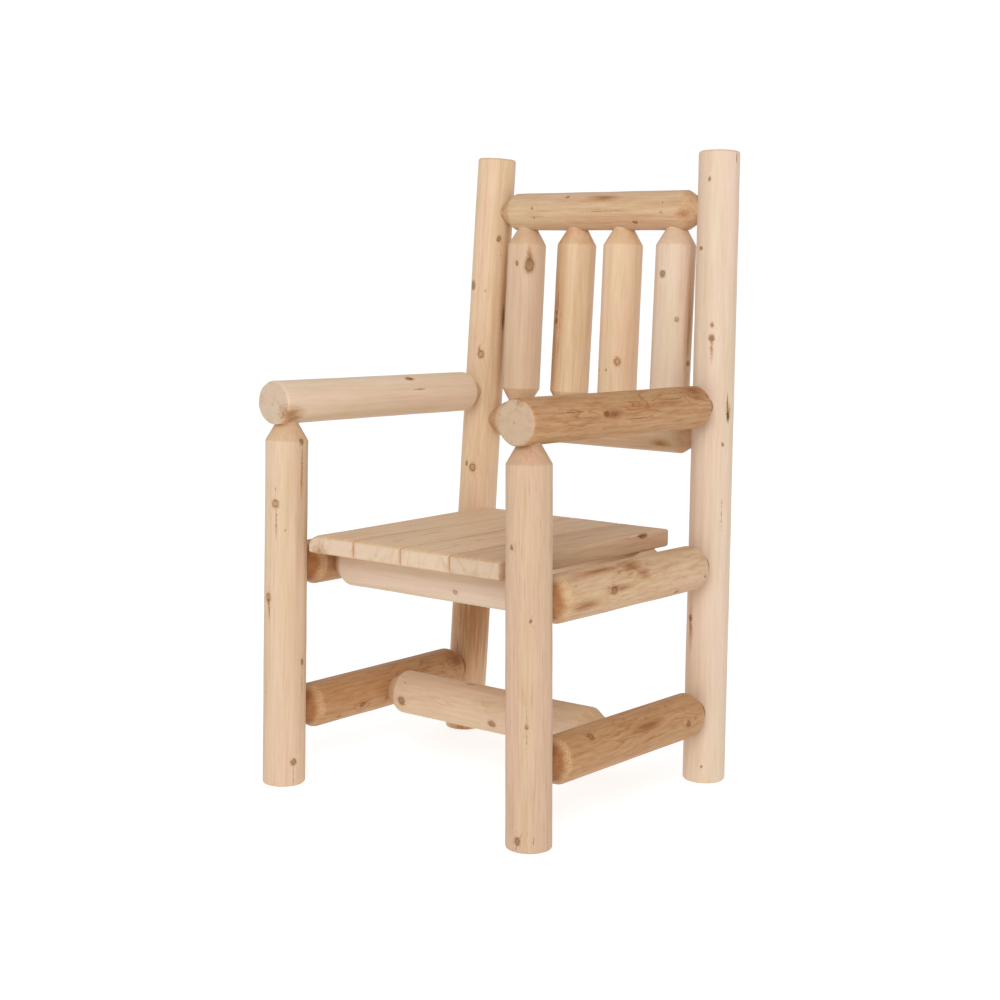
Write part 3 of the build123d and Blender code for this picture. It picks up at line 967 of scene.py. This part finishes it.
def wear_left_board(points, sizes):
    """Wears the left board's front corner, and rounds its left top edge less and less to the rear."""
    width, height, depth = sizes
    near = np.exp(-(np.linalg.norm((points - (width, height, -depth)) / worn_size, axis=1) ** 2))
    points += near[:, None] * worn_push
    from_edge = np.hypot(points[:, 0] - width, points[:, 1] - height) / wane_width
    points[:, 1] -= wane_depth * np.exp(-(from_edge ** 2)) * (1 - points[:, 2] / depth) / 2


def board_shape(number, sizes):
    """Points and faces of a board about its middle, with rounded edges and a slightly wavy top."""
    steps = []
    for size, cells, ease in zip(sizes, board_cells, board_ease):
        eased = [side * (size - ease * share) for side in (-1, 1) for share in ease_shares]
        steps.append(np.unique(np.concatenate((size * np.linspace(-1, 1, cells + 1), eased)).round(6)))
    points, faces = shell_grid(steps)
    ease = np.array(board_ease)
    inner = np.array(sizes) - ease
    core = np.clip(points, -inner, inner)
    out = (points - core) / ease
    out /= np.maximum(np.linalg.norm(out, axis=1, keepdims=True), 1e-9)
    points = core + out * ease
    chance = np.random.default_rng(board_seed + number)
    top = points[:, 1] > 0
    for _ in range(board_wave_count):
        rates, phase = chance.uniform(*board_wave_rates, 2), chance.uniform(0, 2 * pi)
        dip = 1 + np.sin(points[:, 0] * rates[0] + points[:, 2] * rates[1] + phase)
        points[:, 1] -= np.where(top, board_wave * dip / 2, 0)
    if number == 0:
        wear_left_board(points, sizes)
    return points, faces


def build_board(number):
    """Builds one seat board and puts it in place of its CAD node."""
    name = f"seat_board_{number + 1}"
    low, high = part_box(name)
    centre, half = (low + high) / 2, (high - low) / 2
    placed = frame_of((centre.x, low.y, centre.z), to_rear, -to_right)
    points, faces = board_shape(number, (half.x, half.z, half.y))
    points[:, 2] += half.y
    mesh = bpy.data.meshes.new(name + "_plank")
    mesh.from_pydata(points.tolist(), [], faces)
    piece = add_object(name + "_plank", mesh, placed)
    for x in screw_offsets:
        if abs(x - centre.x) < half.x:
            for ends in (front_rail_ends, rear_rail_ends):
                cut_round(piece, (x, ends[0].y, planed_height), upward, pilot)
    finish_piece(piece, name, board_piths[number], lambda turn, place: min(
        half.x / max(abs(cos(radians(turn))), 0.01), half.z / max(abs(sin(radians(turn))), 0.01)
    ))


# Places of the logs


def leg_x(height):
    """Distance of the front legs' axes from the chair's middle."""
    return leg_spacing / 2 - leg_slope * height


def post_x(height):
    """Distance of the rear posts' axes from the chair's middle."""
    return post_spacing / 2 - post_slope * height


def post_y(height):
    """Place of the rear posts' axes, front to back."""
    return post_foot_y + back_slope * height


def radius_between(radii, share):
    """Radius part of the way along a tapered log."""
    return radii[0] * (1 - share) + radii[1] * share


def side_log_x(place, height):
    """Distance from the chair's middle, at a place front to back, of a level side log."""
    share = (place - front_y) / (post_y(height) - front_y)
    return leg_x(height) * (1 - share) + post_x(height) * share


def side_ends(side, height, drop=0.0):
    """Mouths and direction of a log from a front leg back to a rear post, lower there by a drop."""
    on_leg = Vector((side * leg_x(height), front_y, height))
    rear_height = height - drop
    on_post = Vector((side * post_x(rear_height), post_y(rear_height), rear_height))
    back = (on_post - on_leg).normalized()
    front = on_leg + back * radius_between(leg_radii, height / arm_height)
    rear = on_post - back * radius_between(post_radii, rear_height / post_height) / cos(back_lean)
    return front, rear, back


def cross_ends(reach, place, height):
    """Mouths of a log that runs from left to right."""
    return Vector((-reach, place, height)), Vector((reach, place, height))


def between_rails(place, height):
    """Mouths of a log between the side logs at a height."""
    return cross_ends(side_log_x(place, height) - rail_radius, place, height)


def back_ends(height):
    """Mouths of a log that runs from one rear post to the other."""
    reach = post_x(height) - radius_between(post_radii, height / post_height)
    return cross_ends(reach, post_y(height), height)


def spindle_ends(foot_share, head_share):
    """Mouths and direction of a back spindle, in the lower rail and the crest rail."""
    reach = crest_ends[1].x
    foot = Vector((foot_share * reach, post_y(back_rail_height), back_rail_height))
    head = Vector((head_share * reach, post_y(crest_height), crest_height))
    up = (head - foot).normalized()
    return foot + up * back_rail_radius, head - up * back_rail_radius, up


crest_ends = back_ends(crest_height)
back_rail_ends = back_ends(back_rail_height)
front_rail_ends = between_rails(front_y + cross_rail_setback, rail_height)
rear_rail_ends = between_rails(post_y(rail_height) - cross_rail_setback, rail_height)
cross_stretcher_ends = between_rails(front_y + leg_to_post / 2, stretcher_height)
screw_offsets = [
    board_pitch * (number - (board_count - 1) / 2) + side * board_width / 4
    for number in range(board_count) for side in (-1, 1)
]
spindles = [spindle_ends(*shares) for shares in zip(spindle_foot_shares, spindle_head_shares)]

# The chair
for side_name, side in (("left", -1), ("right", 1)):
    outward, which = side * to_right, 0 if side < 0 else 1
    rail, stretcher = side_ends(side, rail_height), side_ends(side, stretcher_height)
    arm = side_ends(side, arm_height, arm_drop)
    on_leg = Vector((side * leg_x(arm_height), front_y, arm_height))
    lean = Vector((-side * leg_slope, 0, 1)).normalized()
    arm_mouth = on_leg - lean * arm_radius
    build_log(
        f"front_{side_name}_leg", (side * leg_x(0), front_y, 0), arm_mouth, leg_radii, (None, joint_seat),
        to_right, [(front, -back, rail_joint_seat) for front, _, back in (stretcher, rail)],
    )
    post_mortises = [
        (rear, back, seat)
        for (_, rear, back), seat in (
            (stretcher, rail_joint_seat), (rail, rail_joint_seat), (arm, joint_seat),
        )
    ]
    post_mortises += [(ends[which], outward, joint_seat) for ends in (crest_ends, back_rail_ends)]
    build_log(
        f"rear_{side_name}_post", (side * post_x(0), post_y(0), 0),
        (side * post_x(post_height), post_y(post_height), post_height),
        post_radii, (None, None), to_right, post_mortises,
    )
    build_log(
        f"{side_name}_armrest", on_leg - arm[2] * arm_overhang, arm[1], (arm_radius, arm_radius),
        (None, joint_seat), -to_right, [(arm_mouth, lean, joint_seat)],
    )
    for name, (front, rear, _), crossing in (
        ("seat_rail", rail, (front_rail_ends, rear_rail_ends)),
        ("stretcher", stretcher, (cross_stretcher_ends,)),
    ):
        build_log(
            f"{side_name}_{name}", front, rear, (rail_radius, rail_radius),
            (rail_joint_seat, rail_joint_seat), -to_right,
            [(ends[which], outward, rail_joint_seat) for ends in crossing],
        )

for name, ends, screwed in (
    ("cross_stretcher", cross_stretcher_ends, False), ("front_seat_rail", front_rail_ends, True),
    ("rear_seat_rail", rear_rail_ends, True),
):
    build_log(
        name, *ends, (rail_radius, rail_radius), (rail_joint_seat, rail_joint_seat), to_rear,
        screw_place=ends[0].y if screwed else None,
    )
for number in range(board_count):
    build_board(number)
for name, ends, radii, end in (
    ("crest_rail", crest_ends, crest_radii, 1),
    ("lower_back_rail", back_rail_ends, (back_rail_radius, back_rail_radius), 0),
):
    build_log(
        name, *ends, radii, (joint_seat, joint_seat), to_rear,
        [(spindle[end], spindle[2] * (1 if end else -1), joint_seat) for spindle in spindles],
    )
for number, (foot, head, _) in enumerate(spindles, 1):
    build_log(
        f"back_spindle_{number}", foot, head, (spindle_radius, spindle_radius),
        (joint_seat, joint_seat), to_right, relief=spindle_relief,
    )
screw_metal = zinc_material()
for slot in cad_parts["seat_screws"].material_slots:
    slot.material = screw_metal

# The camera, turned round z, tipped up from looking down, then rolled
placed = Matrix.Translation(camera_place)
for turn, axis in ((camera_yaw, "Z"), (pi / 2 - camera_pitch, "X"), (camera_roll, "Z")):
    placed = placed @ Matrix.Rotation(turn, 4, axis)
camera = add_object("camera", bpy.data.cameras.new("camera"), placed)
camera.data.lens = camera_lens
camera.data.shift_y = camera_shift
bpy.context.scene.camera = camera

# The floor, which glows a little so that it stays as white as the background
floor_corners = [(x * floor_reach, y * floor_reach, 0) for x, y in ((-1, -1), (1, -1), (1, 1), (-1, 1))]
floor_mesh = bpy.data.meshes.new("floor")
floor_mesh.from_pydata(floor_corners, [], [(0, 1, 2, 3)])
floor = add_object("floor", floor_mesh, Matrix())
floor_material, floor_tree, floor_surface = new_material("studio_floor")
set_inputs(floor_tree, floor_surface, {
    "Base Color": floor_grey, "Roughness": floor_roughness,
    "Emission Color": white, "Emission Strength": floor_glow,
})
floor_mesh.materials.append(floor_material)

# Even light from all round, a white background and a soft lamp
world = bpy.data.worlds.new("studio")
world.use_nodes = True
background = world.node_tree.nodes["Background"]
background.inputs["Color"].default_value = white
seen = world.node_tree.nodes.new("ShaderNodeLightPath").outputs["Is Camera Ray"]
added = background_level - world_light
brightness = math_node(world.node_tree, "MULTIPLY_ADD", seen, added, world_light)
world.node_tree.links.new(brightness, background.inputs["Strength"])
bpy.context.scene.world = world

aimed = (lamp_target - lamp_place).to_track_quat("-Z", "Y").to_matrix().to_4x4()
lamp = add_object("key", bpy.data.lights.new("key", "AREA"), Matrix.Translation(lamp_place) @ aimed)
lamp.data.size = lamp_size
lamp.data.energy = lamp_energy

bpy.context.scene.view_settings.view_transform = "Standard"
